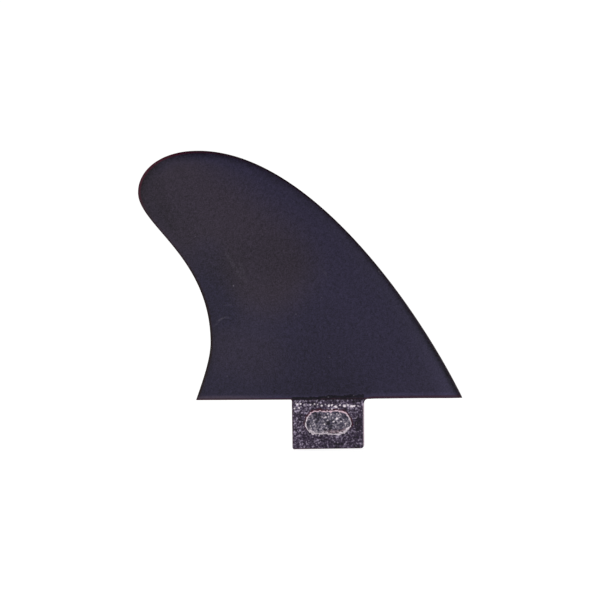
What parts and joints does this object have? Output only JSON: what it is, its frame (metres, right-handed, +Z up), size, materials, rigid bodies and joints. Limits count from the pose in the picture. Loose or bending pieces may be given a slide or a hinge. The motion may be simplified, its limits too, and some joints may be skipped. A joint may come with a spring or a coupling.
{
  "type": "surfboard fin",
  "caption": "Small raked surfboard fin with a foiled blade, a rounded tip and a rectangular fixing tab that has an obround screw recess in each cheek.",
  "frame": {"origin": "middle of the fixing tab, on the flat base of the blade that meets the board", "axes": "+X forward to the leading edge, +Z up the blade to the tip, +Y to the left through the thickness"},
  "size_m": [0.0919, 0.0078, 0.0852],
  "materials": {
    "fin_plastic": "matt dark violet-grey glass-filled nylon, as moulded, smooth with a fine mottle on the blade and rough on the tab"
  },
  "bodies": {
    "root": {"fin": "fin_plastic"}
  },
  "joints": []
}
